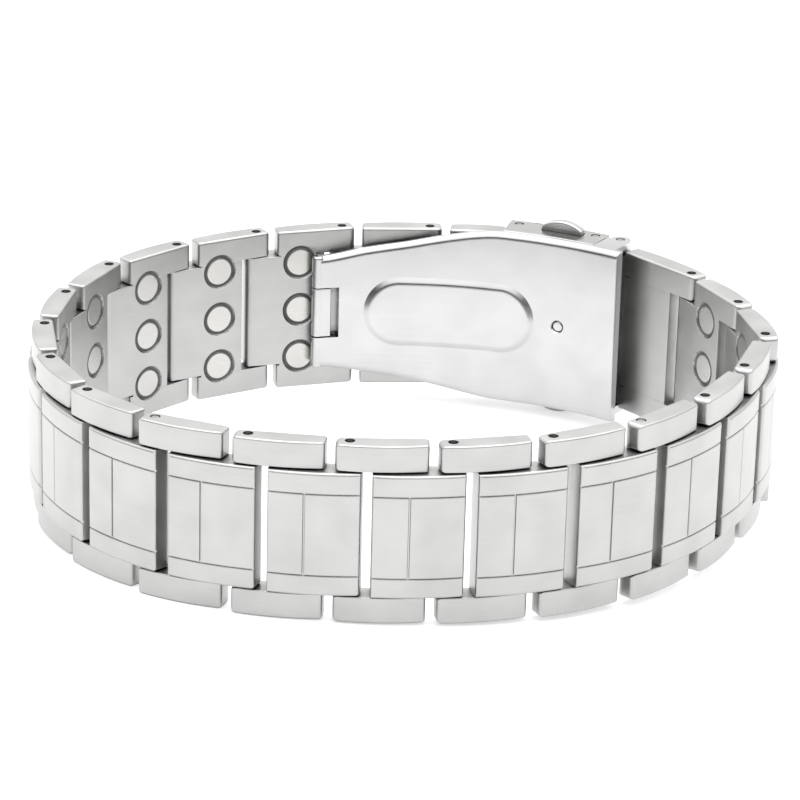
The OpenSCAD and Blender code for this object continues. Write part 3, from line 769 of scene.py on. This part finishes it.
def button():
    """A push button: a body with an arched crown over a wider foot."""
    half, foot = BUTTON_HALF, BAND + WALL_PROUD - WALL_T - BUTTON_GAP
    top = BAND + WALL_PROUD + BUTTON_PROUD
    crown_r = (half ** 2 + BUTTON_CROWN ** 2) / (2 * BUTTON_CROWN)
    b = block((0, -half, foot - 0.4), (BUTTON_T, half, top))
    pick(b, "EDGE", lambda c, d: abs(d.y) > half)
    bpy.ops.mesh.subdivide(number_cuts=23)
    done()
    for k in range(25):
        y = half * (k / 12 - 1)
        shift(b, lambda p: near(p.y, y) and p.z > top - 0.1,
              (0, 0, math.sqrt(crown_r ** 2 - y * y) - crown_r))
    weigh(b, lambda c, d: c.z > top - 0.9 and abs(d.x) < 0.1 and abs(d.y) > 0.1, 0.22)
    weigh(b, lambda c, d: abs(d.z) > 1, 0.12)
    round_marked(b, 4)
    base = block((-0.4, -half - 0.4, foot - 0.8), (BUTTON_T + 0.4, half + 0.4, foot))
    soften(base, lambda c, d: True, 0.08)
    whole = smooth(join([b, base]))
    whole.matrix_world = Matrix.Rotation(BUTTON, 4, "Z") @ Matrix.Translation((CLASP_R, 0, 0))
    settle(whole)
    return whole


dress(inner_blade(), BLADE_STEEL, {"blade_inner": IN_CLASP})
dress(middle_blade(), None, {"blade_middle": IN_CLASP})
dress(cover(), COVER_STEEL, {"cover": IN_CLASP})
upper = button()
lower = other_rim(upper)
dress(lower, BUTTON_STEEL, {"button_lower": IN_CLASP}, "lower_button")
dress(upper, BUTTON_STEEL, {"button_upper": IN_CLASP}, "upper_button")
for name, angle, out, radius, proud in (
        ("pin_cover", 0, COVER_OUT, PIN_R, WALL_PROUD),
        ("pin_fold", FOLD, COVER_OUT, PIN_R, WALL_PROUD),
        ("pin_blade", BLADE_PIN, BLADE_PIN_OUT, PIN_R, BLADE_PROUD),
        ("pin_knuckle", KNUCKLE, KNUCKLE_OUT, KNUCKLE_PIN_R, (BLADE_W - BAND) / 2)):
    sunk = PIN_FLUSH - proud
    dress(pin(radius, sunk, BAND - sunk, polar(angle, out)), PIN_STEEL, {name: IN_CLASP})

# The CAD nodes that the pieces replace
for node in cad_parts.values():
    node.data.materials.clear()
    node.data.materials.append(LINK_STEEL)

# A sheet of white paper, lit a little from below as on a light table
bpy.ops.mesh.primitive_plane_add(size=6)
floor = bpy.context.object
floor.name = "floor"
paper = bpy.data.materials.new("white_paper")
paper.use_nodes = True
for socket, value in (("Base Color", linear("C6C6C6")), ("Roughness", 0.9),
                      ("Emission Color", (1, 1, 1, 1)), ("Emission Strength", 0.6)):
    paper.node_tree.nodes["Principled BSDF"].inputs[socket].default_value = value
floor.data.materials.append(paper)

# A light tent: bright above and behind, dark low down in front
scene = bpy.context.scene
scene.view_settings.view_transform = "Standard"
scene.world = bpy.data.worlds.new("studio")
scene.world.use_nodes = True
sky = scene.world.node_tree
aim = add(sky, "ShaderNodeTexCoord").outputs["Generated"]
split = add(sky, "ShaderNodeSeparateXYZ", {}, {"Vector": aim}).outputs
height = add(sky, "ShaderNodeMath", {"operation": "MULTIPLY_ADD", 1: 0.5, 2: 0.5},
             {0: split["Z"]}).outputs[0]
sides = []
for greys in (((0.5, 0.35), (0.52, 0.06), (0.66, 0.12), (0.76, 1.6), (1, 2.4)),
              ((0.5, 1), (0.74, 1.25), (1, 2.3))):
    tones = [(at, (grey, grey, grey, 1)) for at, grey in greys]
    sides.append(add(sky, "ShaderNodeValToRGB", {}, {"Fac": height}, tones).outputs["Color"])
front, back = sides
facing = add(sky, "ShaderNodeMapRange", {"From Min": -0.25, "From Max": 0.25},
             {"Value": split["Y"]}).outputs[0]
tent = add(sky, "ShaderNodeMix", {"data_type": "RGBA"}, {0: facing, 6: front, 7: back}).outputs[2]
sky.links.new(tent, sky.nodes["Background"].inputs["Color"])

# A softbox overhead, a little behind the bracelet
softbox = bpy.data.objects.new("overhead", bpy.data.lights.new("overhead", "AREA"))
scene.collection.objects.link(softbox)
softbox.data.energy, softbox.data.size = 2, 0.6
softbox.location = (0, 0.1, 0.7)
softbox.rotation_euler = (-softbox.location).to_track_quat("-Z", "Y").to_euler()

camera = bpy.data.objects.new("camera", bpy.data.cameras.new("camera"))
scene.collection.objects.link(camera)
camera.location = (-0.03782696, -0.34832077, 0.13760208)
camera.rotation_euler = [math.radians(v) for v in (70.10075445, -2.20593722, -5.35328586)]
camera.data.lens, camera.data.sensor_width = 165.0632, 36
camera.data.clip_start, camera.data.clip_end = 0.01, 20
scene.camera = camera
